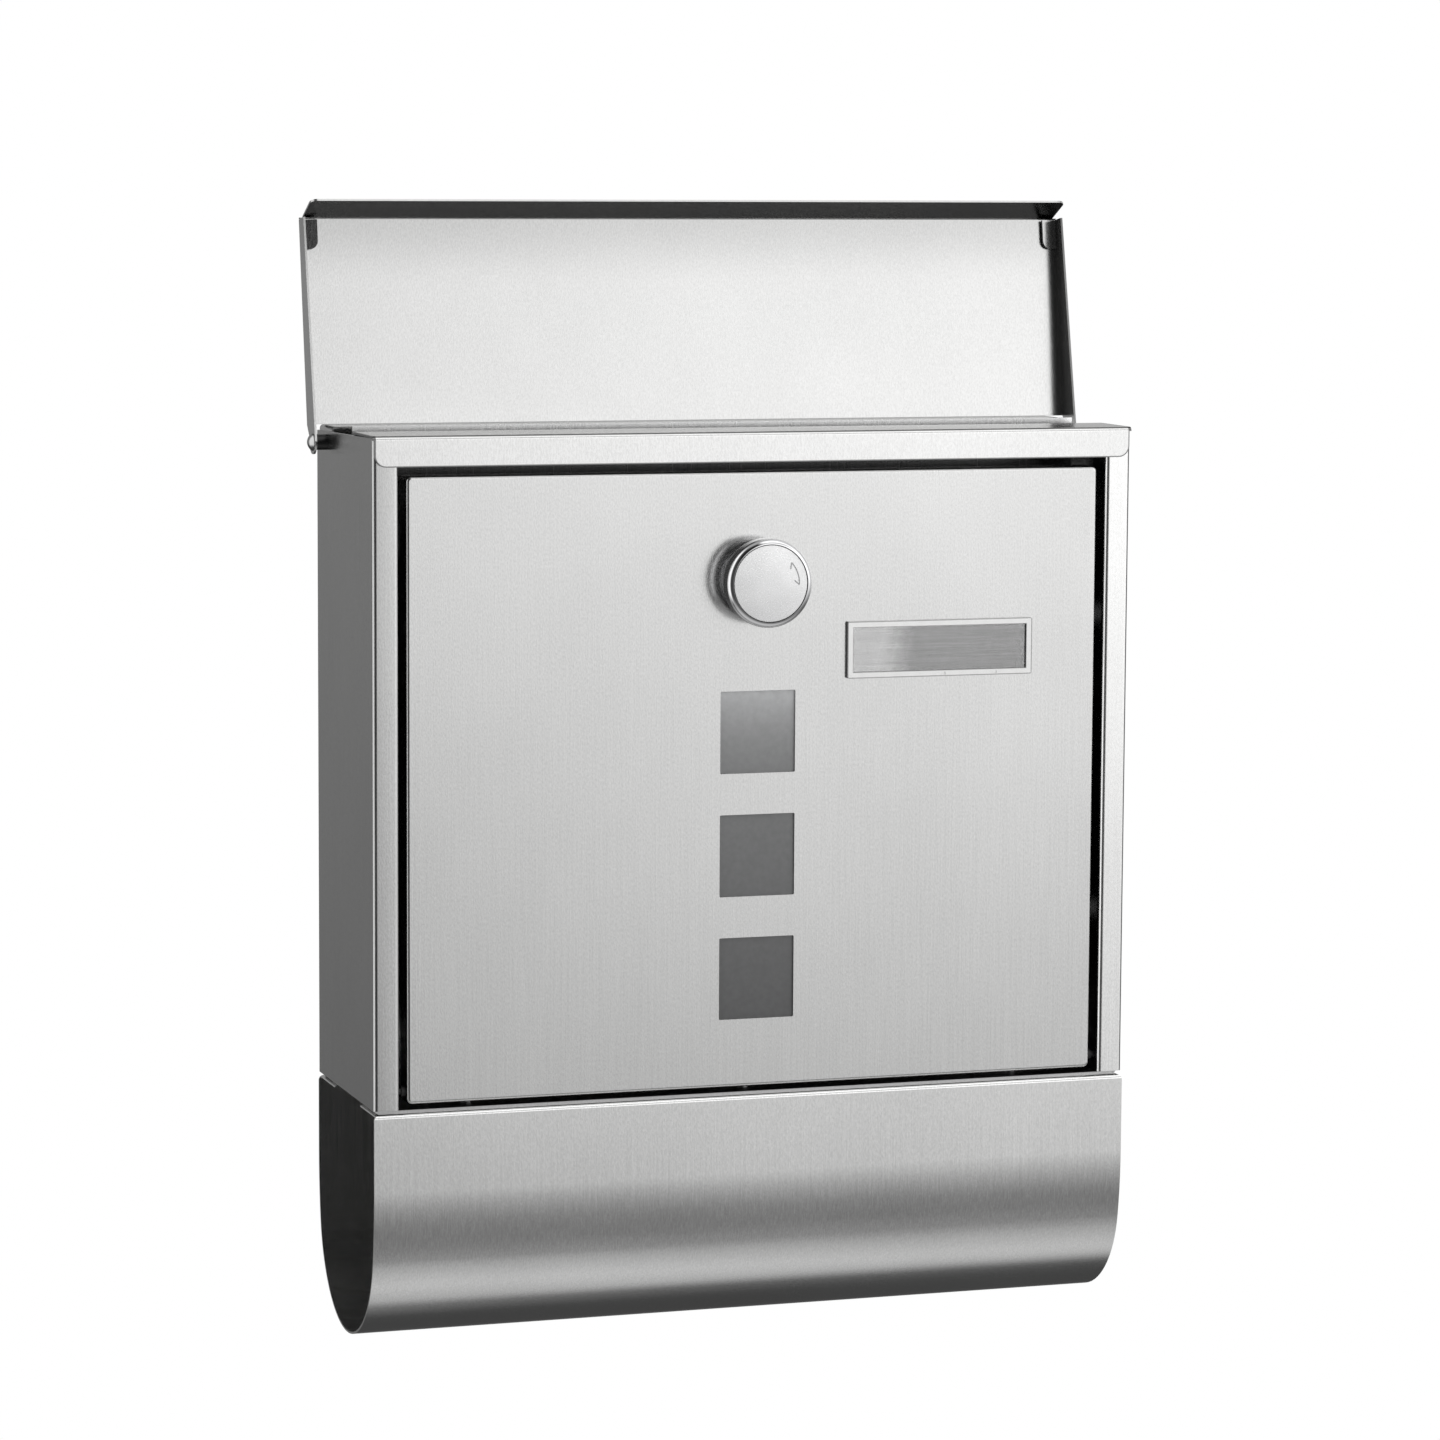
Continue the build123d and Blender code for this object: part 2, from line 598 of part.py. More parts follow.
NODES = {
    "body_shell": body_shell,
    "top_rail": top_rail,
    "rear_top_plate": rear_top_plate,
    "letter_guide": letter_guide,
    "floor_plate": floor_plate,
    "newspaper_roll": newspaper_roll,
    "roll_rivets": roll_rivets,
    "lid": lid,
    "lid_rivets": lid_rivets,
    "lid_spacers": lid_spacers,
    "lock_strike": lock_strike,
    "door_pan": door_pan,
    "door_hinge_pins": door_hinge_pins,
    "door_hinge_bushes": door_hinge_bushes,
    "window_pane": window_pane,
    "window_retainer": window_retainer,
    "retainer_studs": retainer_studs,
    "retainer_nuts": retainer_nuts,
    "name_plate_frame": name_plate_frame,
    "name_plate_cover": name_plate_cover,
    "name_plate_card": name_plate_card,
    "name_plate_clips": name_plate_clips,
    "lock_collar": lock_collar,
    "lock_barrel": lock_barrel,
    "lock_nut": lock_nut,
    "lock_washer": lock_washer,
    "knob": knob,
    "knob_cap": knob_cap,
    "spindle": spindle,
    "latch_tongue": latch_tongue,
    "latch_screw": latch_screw,
}

os.makedirs("parts", exist_ok=True)
for node, build in NODES.items():
    export_step(build(), f"parts/{node}.step")
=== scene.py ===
"""Looks of a wall mounted letter box: finishes, fine details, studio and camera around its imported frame."""
import math

import bmesh
import bpy
from mathutils import Matrix, Vector


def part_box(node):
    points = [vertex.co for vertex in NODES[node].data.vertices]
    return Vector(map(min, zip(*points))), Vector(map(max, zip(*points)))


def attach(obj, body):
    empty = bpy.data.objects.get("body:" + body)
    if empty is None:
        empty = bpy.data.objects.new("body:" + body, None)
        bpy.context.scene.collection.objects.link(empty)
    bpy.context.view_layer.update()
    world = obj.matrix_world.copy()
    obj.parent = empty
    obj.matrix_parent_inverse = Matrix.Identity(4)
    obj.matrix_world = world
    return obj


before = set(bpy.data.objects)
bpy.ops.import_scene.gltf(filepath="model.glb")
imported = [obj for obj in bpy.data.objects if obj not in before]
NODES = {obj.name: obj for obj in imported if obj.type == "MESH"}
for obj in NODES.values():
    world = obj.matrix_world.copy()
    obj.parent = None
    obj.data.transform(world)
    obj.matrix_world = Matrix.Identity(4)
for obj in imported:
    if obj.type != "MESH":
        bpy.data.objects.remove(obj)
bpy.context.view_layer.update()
MM = 0.001

# Camera: left of the box's middle, a little above its top
LENS = 124.24
SENSOR = 36.0
CAMERA_PLACE = Vector((-0.59479, -1.85409, 0.24338))
CAMERA_YAW = 18.152
CAMERA_PITCH = 6.5
CAMERA_ROLL = 0.3214
CLIP_NEAR = 0.05
CLIP_FAR = 100

# Studio
FLOOR_Z = -1.2
FLOOR_HALF = 12.0
BACKDROP = (1.0, 1.0, 1.0, 1.0)
BASE_LIGHT = 0.07
LEAST_LIGHT = 0.02

# Soft boxes: their middle (azimuth from the front towards +X, elevation), half sizes and half the widths
# of their soft edges, all in degrees, then their strength. The last one takes light away.
SOFT_BOXES = {
    "main box, front right": ((36, 30), (28, 40), (10, 18), 1.6),
    "right side": ((88, 26), (28, 42), (10, 16), 0.8),
    "level strip in the main box": ((34, -1), (24, 5), (10, 7), 0.25),
    "left side": ((-88, 15), (30, 45), (12, 12), 1.35),
    "low front fill": ((0, -59), (75, 18), (20, 20), 0.66),
    "strip above the low fill": ((0, -34), (75, 8), (20, 11), 0.16),
    "below": ((0, -86), (180, 6), (1, 14), 0.24),
    "overhead": ((0, 90), (180, 30), (1, 12), 0.45),
    "rear right": ((138, 12), (36, 30), (12, 12), 0.55),
    "rear left": ((-158, 14), (26, 26), (12, 14), 0.28),
    "flag across the main box": ((15, 31), (32, 9), (12, 8), -0.95),
}

# Base colours of the sheets; the inner steel is darker, as painted shade for the parts inside the box
STEEL = (0.75, 0.75, 0.745)
ROLL_STEEL = (0.88, 0.88, 0.875)
RAIL_STEEL = (0.84, 0.84, 0.835)
GUIDE_STEEL = (0.8, 0.8, 0.8)
INNER_STEEL_PAINTED_SHADE = (0.5, 0.5, 0.5)
WHITE = (1, 1, 1)

# Brushed steel: sizes of grain, streaks and clouds in millimetres, and how far each changes the tone
GRAIN = (0.45, 0.45, 0.45 * 2.6)
STREAK = (0.5, 0.5, 40)
CLOUD = (55, 55, 70)
STREAK_TONES = (0.91, 1.01)
GRAIN_TONE = 0.05
CLOUD_TONE = 0.025
ROUGHNESS_SWING = 0.04
STREAK_RELIEF = 0.35
STEEL_RELIEF = 0.011
STEEL_ANISOTROPIC = 0.3

# Painted light and shade on the folded box, with the depths in millimetres over which they change
BOX_PAINTED_LIGHT_TONES = (0.86, 1.16)
LEFT_FLANGE_PAINTED_LIGHT_TONES = (0.88, 1.1)
LEFT_FLANGE_FADE = (1.5, 9)
INSIDE_PAINTED_SHADE = 0.45
INSIDE_FROM_SIDE = (2.0, 3.0)
INSIDE_FROM_FRONT = (1.5, 2.3)
INSIDE_FROM_BACK = (0.4, 0.6)
RIGHT_BEND_PAINTED_SHADE = 0.1
RIGHT_BEND_FROM_SIDE = (1.1, 0.7)
RIGHT_BEND_FROM_FRONT = (2.4, 1.8)

# Top rail: its lip, painted shadow round its edge, and painted shade on its front bend by how far it faces up
LIP_INSET = 0.8
LIP_CORNER = 4.3
LIP_EDGE_PAINTED_SHADOW = 0.25
LIP_EDGE_FADE = (0.6, 0.25)
RAIL_BEND_PAINTED_SHADE = 0.5
RAIL_BEND_FACING = 0.8
RAIL_BEND_SPREAD = (0.1, 0.2)

# Door: painted shade on its edges and folds, and on its back, by how far it faces back
DOOR_EDGE_PAINTED_SHADE = 0.14
DOOR_BACK_PAINTED_SHADE = 0.62
DOOR_BACK_FACING = (0.4, 0.8)
DOOR_FACE_FADE = (1.0, 0.45)

# Letter guide: painted shade on its lower part, rising to a painted highlight along its top fold
GUIDE_PAINTED_LIGHT_TONES = (0.28, 1.25)
GUIDE_FADE = (4, 1.5)

# Lid, painted shade and reflection: distances in millimetres from its top, and from its right end
LID_PAINTED_SHADE_TONES = (1.0, 0.82)
LID_FADE = (34, 8)
LID_FLANGE_PAINTED_REFLECTION = 0.35
LID_FLANGE_FADE = (5.5, 2.0)
LID_FLANGE_FACING = (0.6, 0.3)
DRIP_LIP_PAINTED_SHADE = 0.25
DRIP_LIP_FADE = (8.5, 7.5)
DRIP_LIP_FACING = (-0.5, -0.75)

# Window strip: painted light, its tone at the bottom, what it gains towards its top, and the extra at the
# very top
PANE_MARGIN = 5
PANE_PAINTED_LIGHT_LOW = 0.16
PANE_PAINTED_LIGHT_RISE = 0.2
PANE_PAINTED_LIGHT_TOP = 0.5
PANE_PAINTED_LIGHT_POWER = 9.0

# Name plate: the painted reflection on the card's left end, and the holder's rim
CARD_PAINTED_REFLECTION_TONES = (1.0, 0.57)
CARD_FADE = (11, 27)
COVER_ALPHA = 0.05
HOLDER_RIM = 2.4
HOLDER_EDGE_TONE = 0.45
HOLDER_OUTER_FADE = (0.25, 0.5)
HOLDER_INNER_FADE = (0.1, 0.4)

# Knob: the painted shade of the groove round its disc
GROOVE_PAINTED_SHADE = 0.05
GROOVE_GAP = 0.1
GROOVE_FADE = (0.2, 0.35)

# Direction mark: how far it stands off the disc, the angles of its arc's ends and the steps between them
MARK_LIFT = 0.03 * MM
MARK_ARC = (-3, 44)
MARK_STEPS = 24

# Direction mark: its arc, line and barbs as shares of the disc's radius
MARK_RADIUS = 0.78
MARK_HALF_LINE = 0.016
MARK_BARB = 0.13

# The dome under the mark, as a share of the disc's depth
MARK_DOME = 0.3

# Newspaper roll's shading
WELD_GAP = 0.002 * MM
SHARP_EDGE = 35

# Plain finishes: size of their patches in millimetres, the patches' tones, and the swing in roughness
PATCH = (9, 9, 9)
PATCH_TONES = (0.94, 1.0)
GLOSS_SWING = 0.15

# Plain finishes: base colour, metallic, roughness, grain and relief in millimetres, and their nodes
PLAIN_FINISHES = {
    "rivet_metal": ((0.62, 0.62, 0.62), 1.0, 0.22, 2.0, 0.006, ("roll_rivets", "lid_rivets")),
    "zinc_plated": ((0.5, 0.5, 0.49), 1.0, 0.35, 1.5, 0.01, (
        "retainer_studs", "retainer_nuts", "name_plate_clips", "lock_nut", "lock_washer", "latch_tongue",
        "latch_screw")),
    "dull_metal": ((0.06, 0.06, 0.06), 1.0, 0.4, 1.5, 0.01, ("lid_spacers", "door_hinge_pins")),
    "plated_collar": ((0.8, 0.8, 0.81), 1.0, 0.1, 4.0, 0.001, ("lock_collar",)),
    "satin_disc": ((0.98, 0.98, 0.985), 0.8, 0.3, 0.5, 0.001, ("knob_cap",)),
    "machined_brass": ((0.72, 0.56, 0.28), 1.0, 0.25, 1.0, 0.004, ("lock_barrel", "spindle")),
    "black_nylon": ((0.02, 0.02, 0.02), 0.0, 0.5, 1.0, 0.01, ("door_hinge_bushes",)),
}


# ---------------------------------------------------------------- node trees

class Tree:
    """A node tree with short calls for the nodes used here."""

    def __init__(self, tree):
        self.tree = tree
        self.nodes = tree.nodes

    def add(self, kind, settings=None, **inputs):
        """A node with its settings, and its inputs set or linked by their names."""
        node = self.nodes.new(kind)
        for key, value in (settings or {}).items():
            setattr(node, key, value)
        for key, value in inputs.items():
            self.put(node.inputs[key.replace("_", " ")], value)
        return node

    def put(self, socket, value):
        """Link a socket's output to this socket, or set its plain value."""
        if isinstance(value, bpy.types.NodeSocket):
            self.tree.links.new(value, socket)
        else:
            socket.default_value = value

    def math(self, operation, first, second=0.0, third=0.0):
        node = self.add("ShaderNodeMath", {"operation": operation})
        for socket, value in zip(node.inputs, (first, second, third)):
            self.put(socket, value)
        return node.outputs[0]

    def span(self, value, low, high, out_low=0.0, out_high=1.0, smooth=True):
        """Value mapped from one span to another, clamped, with eased ends if smooth."""
        kind = "SMOOTHSTEP" if smooth else "LINEAR"
        node = self.add("ShaderNodeMapRange", {"interpolation_type": kind, "clamp": True})
        for socket, given in zip(node.inputs, (value, low, high, out_low, out_high)):
            self.put(socket, given)
        return node.outputs[0]

    def vary(self, grains, half, low, high):
        """Noise stretched to run from low to high, over this half width around its middle."""
        return self.span(grains, 0.5 - half, 0.5 + half, low, high, smooth=False)

    def where(self, mask, tone):
        """One where the mask is 0, and the tone where it is 1."""
        return self.span(mask, 0.0, 1.0, 1.0, tone, smooth=False)


# ---------------------------------------------------------------- studio

def studio_light():
    """A dome of soft boxes for the object, and a plain white surround for the camera."""
    world = bpy.data.worlds.new("studio")
    bpy.context.scene.world = world
    world.use_nodes = True
    world.node_tree.nodes.clear()
    t = Tree(world.node_tree)
    way = t.add("ShaderNodeTexCoord").outputs["Generated"]
    x, y, z = t.add("ShaderNodeSeparateXYZ", Vector=way).outputs
    azimuth = t.math("DEGREES", t.math("ARCTAN2", x, t.math("MULTIPLY", y, -1.0)))
    elevation = t.math("DEGREES", t.math("ARCSINE", z))

    def soft_edge(offset, size, soft):
        """One inside the size, falling to zero over the soft edge."""
        return t.span(offset, size + soft, max(size - soft, 0.0))

    def box(at, size, soft, strength):
        """Light of one soft box, as SOFT_BOXES gives it."""
        across = t.math("WRAP", t.math("SUBTRACT", azimuth, at[0]), 180.0, -180.0)
        side = soft_edge(t.math("ABSOLUTE", across), size[0], soft[0])
        up = t.math("ABSOLUTE", t.math("SUBTRACT", elevation, at[1]))
        return t.math("MULTIPLY", t.math("MULTIPLY", side, soft_edge(up, size[1], soft[1])), strength)

    first, *others = [box(*light) for light in SOFT_BOXES.values()]
    total = t.math("ADD", first, BASE_LIGHT)
    for light in others:
        total = t.math("ADD", total, light)
    total = t.math("MAXIMUM", total, LEAST_LIGHT)
    seen = t.add("ShaderNodeLightPath").outputs["Is Camera Ray"]
    studio = t.add("ShaderNodeBackground", Strength=total)
    surround = t.add("ShaderNodeBackground", Color=BACKDROP, Strength=1.0)
    mix = t.add("ShaderNodeMixShader")
    for socket, value in zip(mix.inputs, (seen, studio.outputs[0], surround.outputs[0])):
        t.put(socket, value)
    t.add("ShaderNodeOutputWorld", Surface=mix.outputs[0])


def studio_floor():
    """Plain pale floor, well below the box as it hangs on a wall."""
    mesh = bpy.data.meshes.new("floor")
    corners = [(-1, -1), (1, -1), (1, 1), (-1, 1)]
    mesh.from_pydata([(x * FLOOR_HALF, y * FLOOR_HALF, FLOOR_Z) for x, y in corners], [], [(0, 1, 2, 3)])
    floor = bpy.data.objects.new("floor", mesh)
    bpy.context.scene.collection.objects.link(floor)
    material = bpy.data.materials.new("pale_floor")
    material.use_nodes = True
    material.node_tree.nodes.clear()
    t = Tree(material.node_tree)
    glow = t.add("ShaderNodeEmission", Color=BACKDROP, Strength=1.0)
    t.add("ShaderNodeOutputMaterial", Surface=glow.outputs[0])
    mesh.materials.append(material)
    floor.visible_glossy = False
    floor.visible_diffuse = False
    floor.visible_shadow = False


def camera():
    data = bpy.data.cameras.new("camera")
    data.lens = LENS
    data.sensor_width = SENSOR
    data.clip_start = CLIP_NEAR
    data.clip_end = CLIP_FAR
    cam = bpy.data.objects.new("camera", data)
    bpy.context.scene.collection.objects.link(cam)
    turn = Matrix.Rotation(math.radians(-CAMERA_YAW), 4, "Z")
    turn @= Matrix.Rotation(math.radians(90 - CAMERA_PITCH), 4, "X")
    turn @= Matrix.Rotation(math.radians(CAMERA_ROLL), 4, "Z")
    cam.matrix_world = Matrix.Translation(CAMERA_PLACE) @ turn
    bpy.context.scene.camera = cam


# ---------------------------------------------------------------- what finishes are made of

def in_mm(corners):
    """A box's low and high corners, in millimetres."""
    return [[value / MM for value in corner] for corner in corners]


def finish_material(name, color, metallic, roughness):
    material = bpy.data.materials.new(name)
    material.use_nodes = True
    t = Tree(material.node_tree)
    shader = t.nodes["Principled BSDF"]
    shader.inputs["Base Color"].default_value = (*color, 1)
    shader.inputs["Metallic"].default_value = metallic
    shader.inputs["Roughness"].default_value = roughness
    return material, t, shader


def noise(t, size, detail=2.0, seed=0.0):
    """Noise whose grains measure size, in millimetres along X, Y and Z."""
    place = t.add("ShaderNodeTexCoord").outputs["Object"]
    scale = tuple(1 / (s * MM) for s in size)
    mapped = t.add("ShaderNodeMapping", Vector=place, Scale=scale, Location=(seed, seed, seed))
    return t.add("ShaderNodeTexNoise", Vector=mapped.outputs[0], Scale=1.0, Detail=detail).outputs[0]


def place_along(t, axis):
    """The place on the object along X, Y or Z, in millimetres."""
    split = t.add("ShaderNodeSeparateXYZ", Vector=t.add("ShaderNodeTexCoord").outputs["Object"])
    return t.math("MULTIPLY", split.outputs["XYZ".index(axis)], 1 / MM)


def facing(t, axis):
    """How far the surface faces along X, Y or Z, from -1 to 1."""
    split = t.add("ShaderNodeSeparateXYZ", Vector=t.add("ShaderNodeTexCoord").outputs["Normal"])
    return split.outputs["XYZ".index(axis)]


def tint(t, shader, color, tone):
    """Base colour times a tone that varies over the surface."""
    grey = t.add("ShaderNodeCombineColor", Red=tone, Green=tone, Blue=tone).outputs[0]
    paint = t.add("ShaderNodeMix", {"data_type": "RGBA", "blend_type": "MULTIPLY"})
    for socket, value in zip((paint.inputs[0], paint.inputs[6], paint.inputs[7]), (1.0, (*color, 1), grey)):
        t.put(socket, value)
    t.put(shader.inputs["Base Color"], paint.outputs[2])


def relief(t, shader, height, depth):
    """Bump of a given depth, in millimetres."""
    bump = t.add("ShaderNodeBump", Strength=1.0, Distance=depth * MM, Height=height)
    t.put(shader.inputs["Normal"], bump.outputs[0])


# ---------------------------------------------------------------- brushed steel

def steel(name, color, roughness, painted_light=None):
    """Fine brushed stainless sheet: an upright grain over soft clouds, and painted light and shade if given.
    """
    material, t, shader = finish_material(name, color, 1.0, roughness)
    fine = noise(t, GRAIN, detail=3.0)
    streaks = noise(t, STREAK, detail=3.0, seed=5.0)
    cloud = noise(t, CLOUD, detail=3.0, seed=9.0)
    tone = t.vary(streaks, 0.2, *STREAK_TONES)
    tone = t.math("ADD", tone, t.vary(fine, 0.15, -GRAIN_TONE, GRAIN_TONE))
    tone = t.math("ADD", tone, t.vary(cloud, 0.2, -CLOUD_TONE, CLOUD_TONE))
    # Painted light and shade, where given, multiply the brushed tone
    if painted_light:
        tone = t.math("MULTIPLY", tone, painted_light(t))
    tint(t, shader, color, tone)
    gloss = t.vary(streaks, 0.3, roughness - ROUGHNESS_SWING, roughness + ROUGHNESS_SWING)
    t.put(shader.inputs["Roughness"], gloss)
    relief(t, shader, t.math("ADD", fine, t.math("MULTIPLY", streaks, STREAK_RELIEF)), STEEL_RELIEF)
    shader.inputs["Anisotropic"].default_value = STEEL_ANISOTROPIC
    return material


def box_painted_light(t):
    """Painted light and shade on the folded box: brighter to the right, dark in its right bend and inside."""
    low, high = in_mm(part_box("body_shell"))
    left, right, front = low[0], high[0], low[1]
    x, y = place_along(t, "X"), place_along(t, "Y")
    across = t.span(x, left, right, *BOX_PAINTED_LIGHT_TONES, smooth=False)
    start, end = (left + inset for inset in LEFT_FLANGE_FADE)
    across = t.math("MULTIPLY", across, t.span(x, start, end, *LEFT_FLANGE_PAINTED_LIGHT_TONES, smooth=False))
    within = t.span(t.math("ABSOLUTE", x), *(right - inset for inset in INSIDE_FROM_SIDE))
    behind = t.span(y, *(front + depth for depth in INSIDE_FROM_FRONT))
    before_back = t.span(y, *(-depth for depth in INSIDE_FROM_BACK))
    inside = t.math("MULTIPLY", t.math("MULTIPLY", within, behind), before_back)
    bend_side = t.span(x, *(right - inset for inset in RIGHT_BEND_FROM_SIDE))
    bend_front = t.span(y, *(front + depth for depth in RIGHT_BEND_FROM_FRONT))
    across = t.math("MULTIPLY", across, t.where(t.math("MULTIPLY", bend_side, bend_front), RIGHT_BEND_PAINTED_SHADE))
    return t.math("MULTIPLY", across, t.where(inside, INSIDE_PAINTED_SHADE))


def rail_painted_shade(t):
    """Painted shade on the rail along its front bend, and a painted shadow round the cut edge of its lip."""
    low, high = in_mm(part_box("top_rail"))
    lip_end = high[0] - LIP_INSET - LIP_CORNER
    across = t.math("SUBTRACT", t.math("ABSOLUTE", place_along(t, "X")), lip_end)
    down = t.math("SUBTRACT", low[2] + LIP_CORNER, place_along(t, "Z"))
    squares = [t.math("POWER", t.math("MAXIMUM", side, 0.0), 2.0) for side in (across, down)]
    corner = t.math("SQRT", t.math("ADD", *squares))
    straight = t.math("MINIMUM", t.math("MAXIMUM", across, down), 0.0)
    beyond = t.math("ADD", corner, straight)
    edge = t.span(beyond, *(LIP_CORNER - inset for inset in LIP_EDGE_FADE), 1.0, LIP_EDGE_PAINTED_SHADOW)
    off_bend = t.math("ABSOLUTE", t.math("SUBTRACT", facing(t, "Z"), RAIL_BEND_FACING))
    return t.math("MULTIPLY", edge, t.span(off_bend, *RAIL_BEND_SPREAD, RAIL_BEND_PAINTED_SHADE, 1.0))


def door_painted_shade(t):
    """Painted shade on the door's cut edges and folds behind its front face, and on its back."""
    front = in_mm(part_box("door_pan"))[0][1]
    behind = t.span(facing(t, "Y"), *DOOR_BACK_FACING, DOOR_EDGE_PAINTED_SHADE, DOOR_BACK_PAINTED_SHADE)
    front_face = t.span(place_along(t, "Y"), *(front + depth for depth in DOOR_FACE_FADE))
    return t.math("MAXIMUM", front_face, behind)


def guide_painted_light(t):
    """Painted shade on the letter guide's lower part, rising to a painted highlight along its top fold."""
    top = in_mm(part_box("letter_guide"))[1][2]
    return t.span(place_along(t, "Z"), *(top - drop for drop in GUIDE_FADE), *GUIDE_PAINTED_LIGHT_TONES)


def lid_painted_shade(t):
    """Painted shade on the lid near its far edge and in its drip lip, a painted reflection by its right
    flange.
    """
    high = in_mm(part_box("lid"))[1]
    top, end = high[2], high[0]
    fall = t.span(place_along(t, "Z"), *(top - drop for drop in LID_FADE), *LID_PAINTED_SHADE_TONES)
    level = t.span(t.math("ABSOLUTE", facing(t, "X")), *LID_FLANGE_FACING)
    by_flange = t.span(place_along(t, "X"), *(end - inset for inset in LID_FLANGE_FADE))
    near_flange = t.math("MULTIPLY", level, by_flange)
    turned_down = t.span(facing(t, "Z"), *DRIP_LIP_FACING)
    at_top = t.span(place_along(t, "Z"), *(top - drop for drop in DRIP_LIP_FADE))
    lip = t.math("MULTIPLY", turned_down, at_top)
    fall = t.math("MULTIPLY", fall, t.where(near_flange, LID_FLANGE_PAINTED_REFLECTION))
    return t.math("MULTIPLY", fall, t.where(lip, DRIP_LIP_PAINTED_SHADE))


# ---------------------------------------------------------------- other finishes

def plain(name, color, metallic, roughness, grain, depth):
    """Plain finish with small uneven variation in tone, gloss and surface."""
    material, t, shader = finish_material(name, color, metallic, roughness)
    fine = noise(t, (grain,) * 3, detail=3.0)
    tint(t, shader, color, t.vary(noise(t, PATCH, seed=3.0), 0.2, *PATCH_TONES))
    gloss = t.vary(fine, 0.2, roughness * (1 - GLOSS_SWING), roughness * (1 + GLOSS_SWING))
    t.put(shader.inputs["Roughness"], gloss)
    relief(t, shader, fine, depth)
    return material, t, shader


def pane_finish():
    """Clear strip with painted light that brightens it towards its top, and uneven dust."""
    material, t, shader = plain("clear_pane_painted_light", WHITE, 0.0, 0.22, 3.0, 0.002)
    low, high = in_mm(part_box("window_pane"))
    up = t.span(place_along(t, "Z"), low[2] + PANE_MARGIN, high[2] - PANE_MARGIN, smooth=False)
    pane_painted_light = t.math("MULTIPLY_ADD", up, PANE_PAINTED_LIGHT_RISE, PANE_PAINTED_LIGHT_LOW)
    pane_painted_light = t.math("MULTIPLY_ADD", t.math("POWER", up, PANE_PAINTED_LIGHT_POWER), PANE_PAINTED_LIGHT_TOP, pane_painted_light)
    dust = t.vary(noise(t, (2.2, 2.2, 2.2), detail=5.0, seed=4.0), 0.2, 0.93, 1.05)
    tint(t, shader, (0.98, 0.99, 1.0), t.math("MULTIPLY", pane_painted_light, dust))
    return material


def card_finish():
    """Brushed foil card, with a painted reflection brightening it towards its left end."""
    material, t, shader = finish_material("brushed_card", WHITE, 1.0, 0.22)
    left = in_mm(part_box("name_plate_card"))[0][0]
    card_painted_reflection = t.span(place_along(t, "X"), *(left + inset for inset in CARD_FADE), *CARD_PAINTED_REFLECTION_TONES)
    scratches = noise(t, (30, 0.3, 0.3), detail=4.0, seed=2.0)
    tint(t, shader, WHITE, t.math("MULTIPLY", card_painted_reflection, t.vary(scratches, 0.2, 0.86, 1.1)))
    relief(t, shader, scratches, 0.0015)
    return material


def cover_finish():
    """Thin clear plastic over the card."""
    material, t, shader = plain("clear_cover", WHITE, 0.0, 0.08, 6.0, 0.001)
    shader.inputs["Alpha"].default_value = COVER_ALPHA
    return material


def holder_finish():
    """Clear moulded rim, dark along its outer and inner edges."""
    material, t, shader = plain("pale_holder", WHITE, 0.75, 0.2, 3.0, 0.002)
    low, high = in_mm(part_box("name_plate_frame"))

    def past_end(axis):
        """How far a place lies past the holder's end along an axis: less than 0 within it."""
        index = "XYZ".index(axis)
        middle, half = (low[index] + high[index]) / 2, (high[index] - low[index]) / 2
        from_middle = t.math("ABSOLUTE", t.math("SUBTRACT", place_along(t, axis), middle))
        return t.math("SUBTRACT", from_middle, half)

    inset = t.math("MULTIPLY", t.math("MAXIMUM", past_end("X"), past_end("Z")), -1.0)
    off_rim = t.math("ABSOLUTE", t.math("SUBTRACT", inset, HOLDER_RIM))
    outer = t.span(inset, *HOLDER_OUTER_FADE, HOLDER_EDGE_TONE, 1.0)
    inner = t.span(off_rim, *HOLDER_INNER_FADE, HOLDER_EDGE_TONE, 1.0)
    tint(t, shader, (0.88, 0.88, 0.875), t.math("MINIMUM", outer, inner))
    return material


def knob_finish():
    """Bright chrome with painted shade for the groove round the disc's seat."""
    material, t, shader = plain("chrome_plate", WHITE, 1.0, 0.07, 4.0, 0.001)
    low, high = in_mm(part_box("knob"))
    x = t.math("SUBTRACT", place_along(t, "X"), (low[0] + high[0]) / 2)
    z = t.math("SUBTRACT", place_along(t, "Z"), (low[2] + high[2]) / 2)
    radius = t.math("SQRT", t.math("ADD", t.math("MULTIPLY", x, x), t.math("MULTIPLY", z, z)))
    cap_low, cap_high = in_mm(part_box("knob_cap"))
    groove_radius = (cap_high[0] - cap_low[0]) / 2 + GROOVE_GAP
    off_groove = t.math("ABSOLUTE", t.math("SUBTRACT", radius, groove_radius))
    tint(t, shader, (0.86, 0.86, 0.87), t.span(off_groove, *GROOVE_FADE, GROOVE_PAINTED_SHADE, 1.0))
    return material


def dress(material, *nodes):
    """Give nodes a material in place of their own."""
    for node in nodes:
        mesh = NODES[node].data
        mesh.materials.clear()
        mesh.materials.append(material)


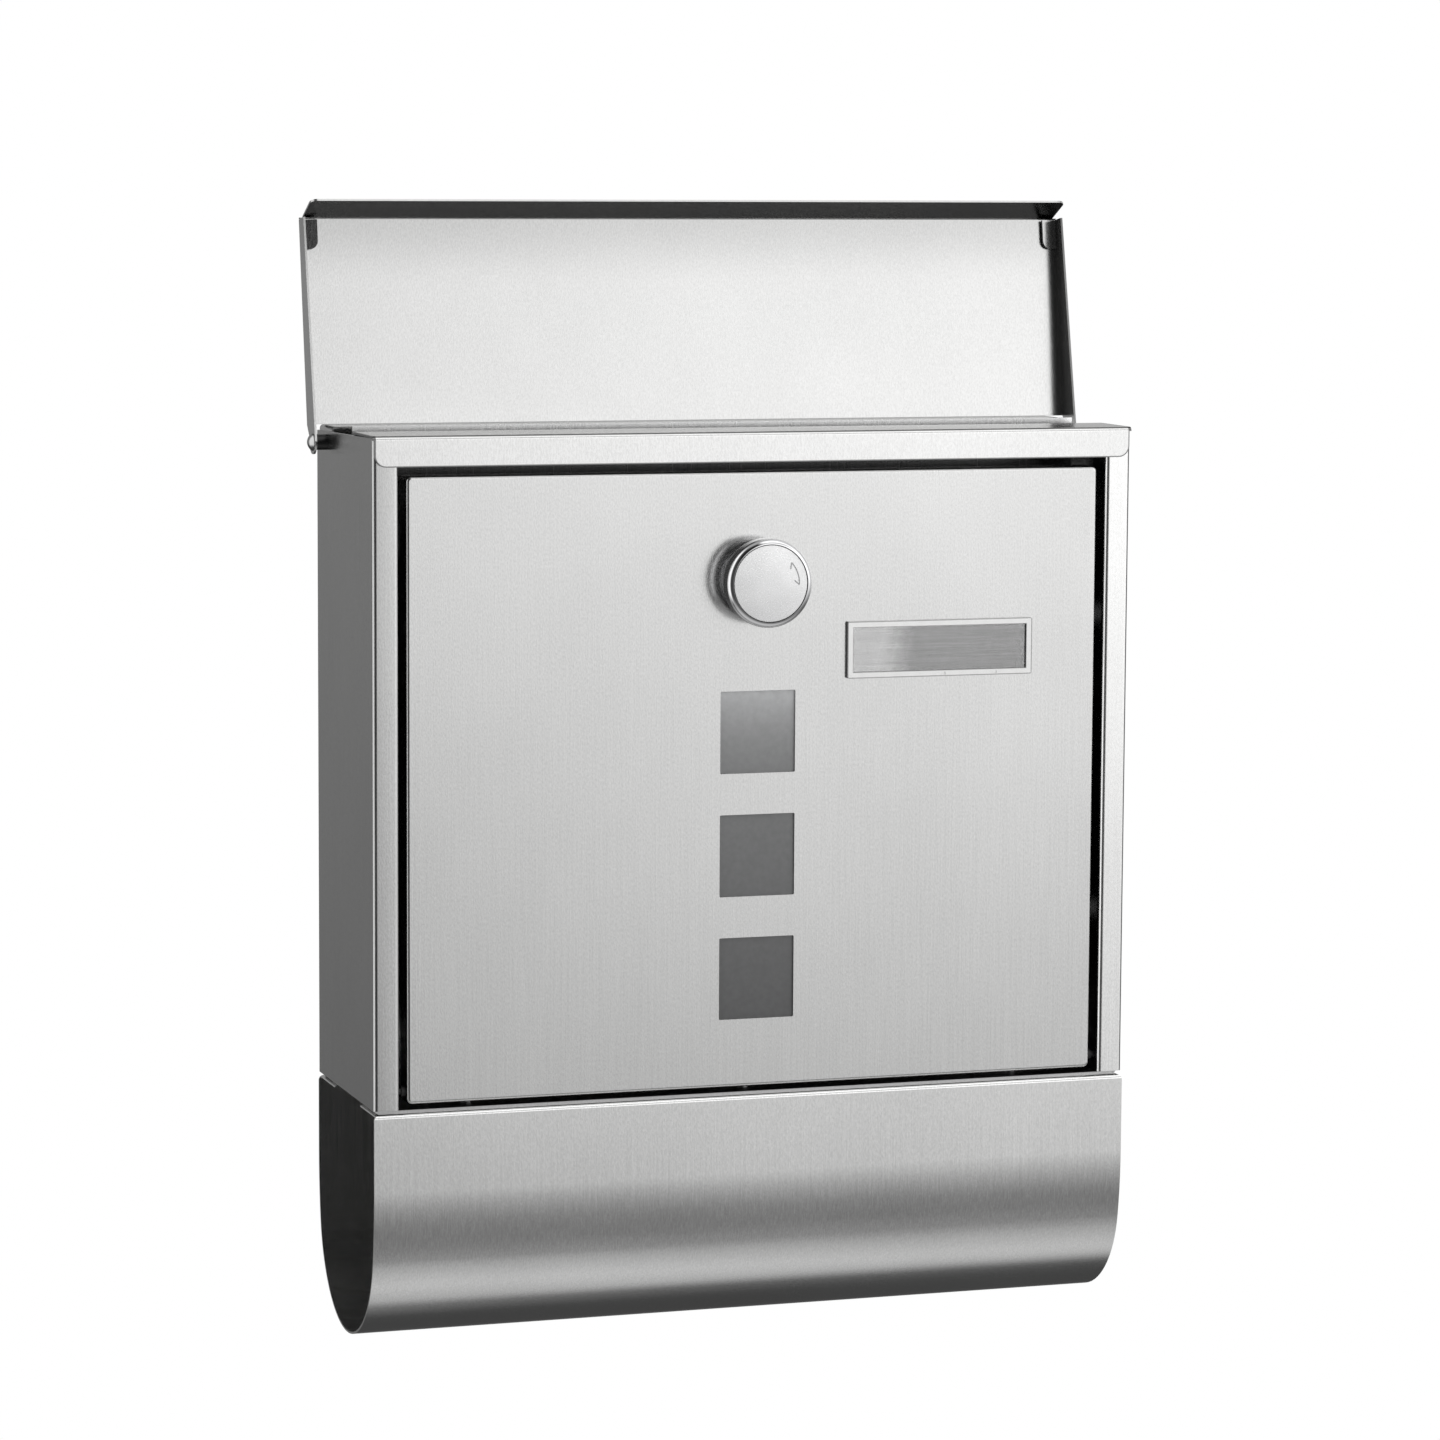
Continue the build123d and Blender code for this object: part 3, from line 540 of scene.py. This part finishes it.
def finishes():
    """Every node's material."""
    dress(steel("steel_box", STEEL, 0.2, box_painted_light), "body_shell")
    dress(steel("steel_rail", RAIL_STEEL, 0.2, rail_painted_shade), "top_rail")
    dress(steel("steel_rear_plate", RAIL_STEEL, 0.2), "rear_top_plate")
    dress(steel("steel_lid", STEEL, 0.2, lid_painted_shade), "lid")
    dress(steel("steel_roll", ROLL_STEEL, 0.2), "newspaper_roll")
    dress(steel("steel_door", STEEL, 0.2, door_painted_shade), "door_pan")
    dress(steel("steel_guide", GUIDE_STEEL, 0.25, guide_painted_light), "letter_guide")
    # The inner parts' steel is darker, as painted shade inside the box
    dress(steel("steel_inner", INNER_STEEL_PAINTED_SHADE, 0.3), "floor_plate", "lock_strike", "window_retainer")
    for name, (*look, nodes) in PLAIN_FINISHES.items():
        dress(plain(name, *look)[0], *nodes)
    dress(knob_finish(), "knob")
    dress(holder_finish(), "name_plate_frame")
    dress(pane_finish(), "window_pane")
    dress(cover_finish(), "name_plate_cover")
    dress(card_finish(), "name_plate_card")


# ---------------------------------------------------------------- details

def smooth_roll():
    """Even shading where the roll's flat, gently curved and round stretches meet."""
    part = NODES["newspaper_roll"]
    part.modifiers.new("weld", "WELD").merge_threshold = WELD_GAP
    part.modifiers.new("split", "EDGE_SPLIT").split_angle = math.radians(SHARP_EDGE)
    part.modifiers.new("shading", "WEIGHTED_NORMAL").mode = "FACE_AREA"


def direction_mark():
    """Thin arc with a barb at each end, printed on the knob's disc to show which way it turns."""
    low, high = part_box("knob_cap")
    centre_x, centre_z = (low[0] + high[0]) / 2, (low[2] + high[2]) / 2
    disc = (high[0] - low[0]) / 2
    radius, half_line, barb = disc * MARK_RADIUS, disc * MARK_HALF_LINE, disc * MARK_BARB
    dome = (high[1] - low[1]) * MARK_DOME
    start, end = (math.radians(angle) for angle in MARK_ARC)
    made = bmesh.new()

    def strip(points):
        """Flat ribbon along points on the disc, just proud of its dome."""
        rows = []
        for index, (x, z) in enumerate(points):
            before, after = points[max(index - 1, 0)], points[min(index + 1, len(points) - 1)]
            along = Vector((after[0] - before[0], after[1] - before[1])).normalized()
            row = []
            for side in (-half_line, half_line):
                px, pz = x - along.y * side, z + along.x * side
                depth = low[1] + dome * (px * px + pz * pz) / disc ** 2
                place = centre_x + px, centre_z + pz
                row.append([made.verts.new((place[0], depth + lift, place[1])) for lift in (-MARK_LIFT, 0)])
            rows.append(row)
        for (a, b), (c, d) in zip(rows, rows[1:]):
            made.faces.new((a[0], c[0], d[0], b[0]))
            made.faces.new((a[1], b[1], d[1], c[1]))
            made.faces.new((a[0], a[1], c[1], c[0]))
            made.faces.new((b[0], d[0], d[1], b[1]))

    def at(angle, r=radius):
        return r * math.cos(angle), r * math.sin(angle)

    strip([at(start + (end - start) * i / MARK_STEPS) for i in range(MARK_STEPS + 1)])
    for tip, back in ((start, 1), (end, -1)):
        lean = back * barb / radius
        strip([at(tip), at(tip + lean, radius - barb)])
    mesh = bpy.data.meshes.new("direction_mark")
    bmesh.ops.recalc_face_normals(made, faces=made.faces)
    made.to_mesh(mesh)
    made.free()
    mark = bpy.data.objects.new("direction_mark", mesh)
    bpy.context.scene.collection.objects.link(mark)
    mesh.materials.append(plain("grey_print", (0.6, 0.6, 0.61), 0.0, 0.45, 0.4, 0.002)[0])
    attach(mark, "knob")


studio_light()
studio_floor()
camera()
finishes()
smooth_roll()
direction_mark()
bpy.context.scene.view_settings.view_transform = "Standard"
